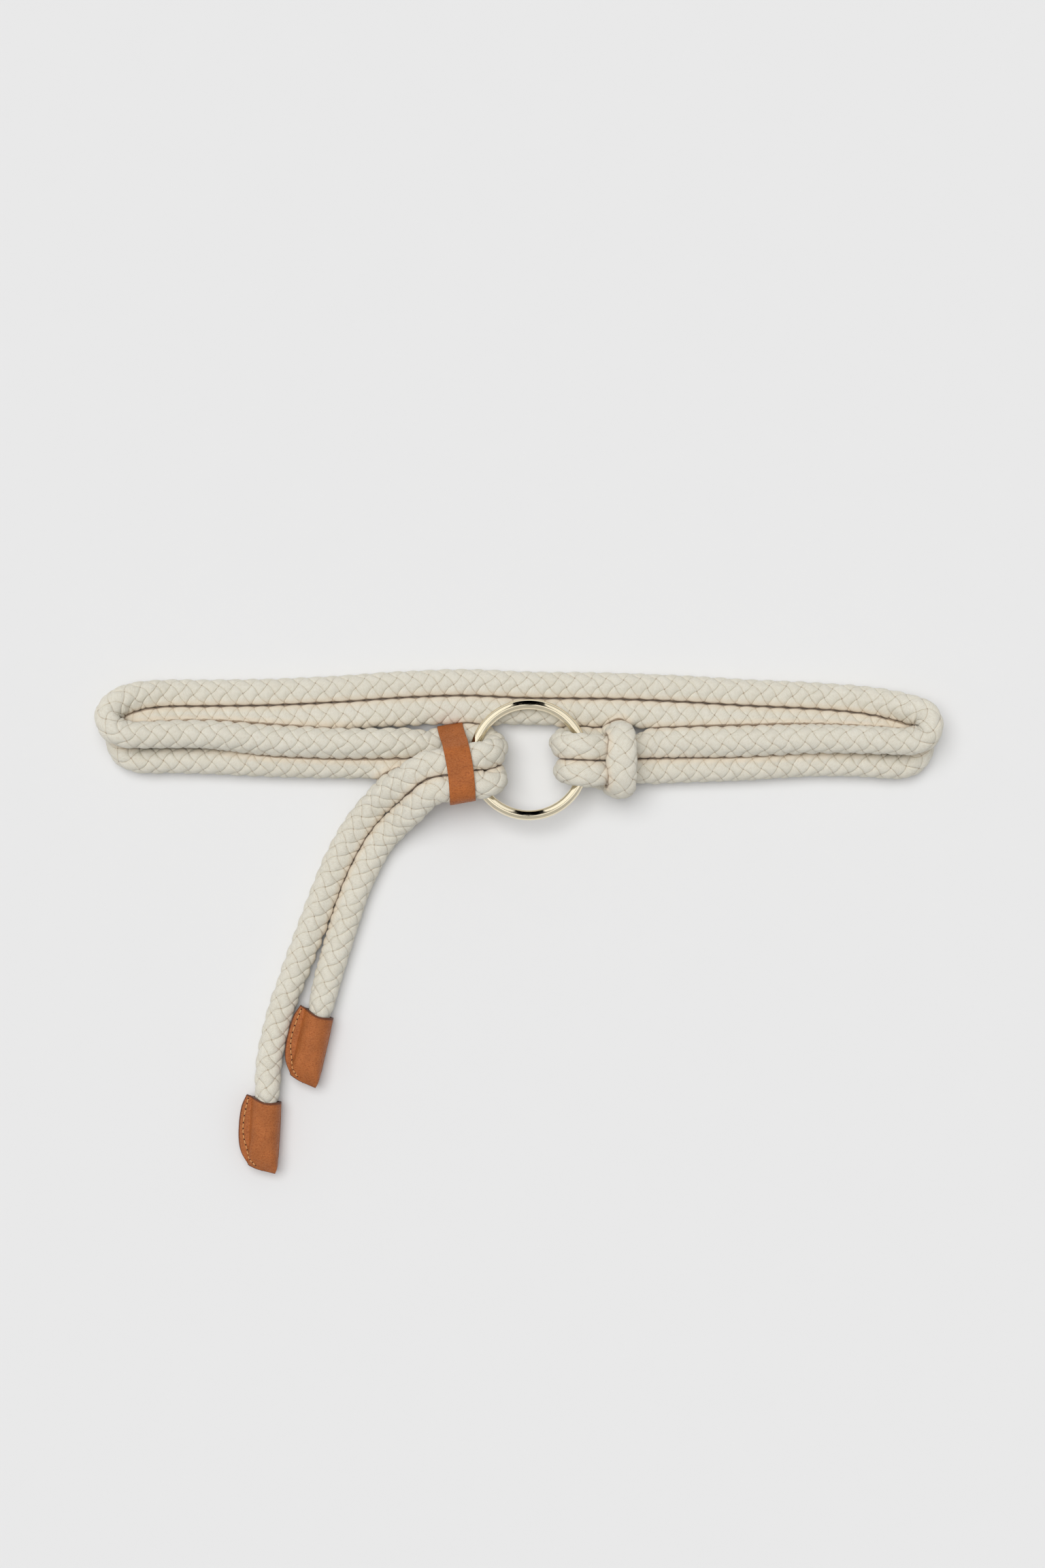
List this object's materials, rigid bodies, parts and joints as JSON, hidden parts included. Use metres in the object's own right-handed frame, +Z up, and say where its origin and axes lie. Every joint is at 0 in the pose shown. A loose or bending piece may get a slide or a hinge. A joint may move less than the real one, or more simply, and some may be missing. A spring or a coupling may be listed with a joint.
{
  "type": "braided rope waist belt",
  "caption": "Braided cotton rope belt folded flat: doubled rope hitched on a metal ring, ends through the ring and a leather keeper, sewn leather end tips.",
  "frame": {"origin": "middle of the folded belt's footprint, on the surface that it lies on", "axes": "+X along the folded belt from the two folded ends on the left towards the fold right of the ring, +Y away from the two leather tips, +Z up from the surface"},
  "size_m": [0.4196, 0.2514, 0.0353],
  "materials": {
    "rope_cover": "ecru cotton, flat-plaited in diamond cells of parallel yarns, matt and slightly fuzzy",
    "rope_core": "loosely twisted cotton filler yarn, undyed",
    "ring": "pale gold plate, mirror polished",
    "keeper_leather": "tan pebbled hide, semi-matt, cut edges painted dark",
    "keeper_stitching": "waxed ochre sewing thread",
    "tip_leather": "reddish tan hide, satin, cut edges painted dark",
    "tip_stitching": "waxed orange sewing thread",
    "end_tape": "buff cloth binding tape"
  },
  "bodies": {
    "waist": {"waist_rope_cover": "rope_cover", "waist_rope_core": "rope_core"},
    "ring": {"ring": "ring"},
    "keeper": {"keeper_band": "keeper_leather", "keeper_thread": "keeper_stitching"},
    "tail_a": {"tail_a_cover": "rope_cover", "tail_a_core": "rope_core", "tail_a_end_tape": "end_tape", "tail_a_tip": "tip_leather", "tail_a_tip_thread": "tip_stitching"},
    "tail_b": {"tail_b_cover": "rope_cover", "tail_b_core": "rope_core", "tail_b_end_tape": "end_tape", "tail_b_tip": "tip_leather", "tail_b_tip_thread": "tip_stitching"}
  },
  "joints": [
    {"name": "ring_spin", "type": "hinge", "parent": "waist", "child": "ring", "pos_m": [0.00517, 0.08063, 0.0175], "axis": [0, 0, 1], "continuous": true},
    {"name": "keeper_slide", "type": "slide", "parent": "waist", "child": "keeper", "axis": [0.9848, 0.1736, 0], "range_m": [-0.004, 0]},
    {"name": "tail_a_swing", "type": "hinge", "parent": "waist", "child": "tail_a", "pos_m": [-0.09532, 0.01963, 0.0065], "axis": [0, 0, 1], "range_deg": [-45, 0]},
    {"name": "tail_b_swing", "type": "hinge", "parent": "waist", "child": "tail_b", "pos_m": [-0.07933, 0.01913, 0.0065], "axis": [0, 0, 1], "range_deg": [0, 45]}
  ]
}
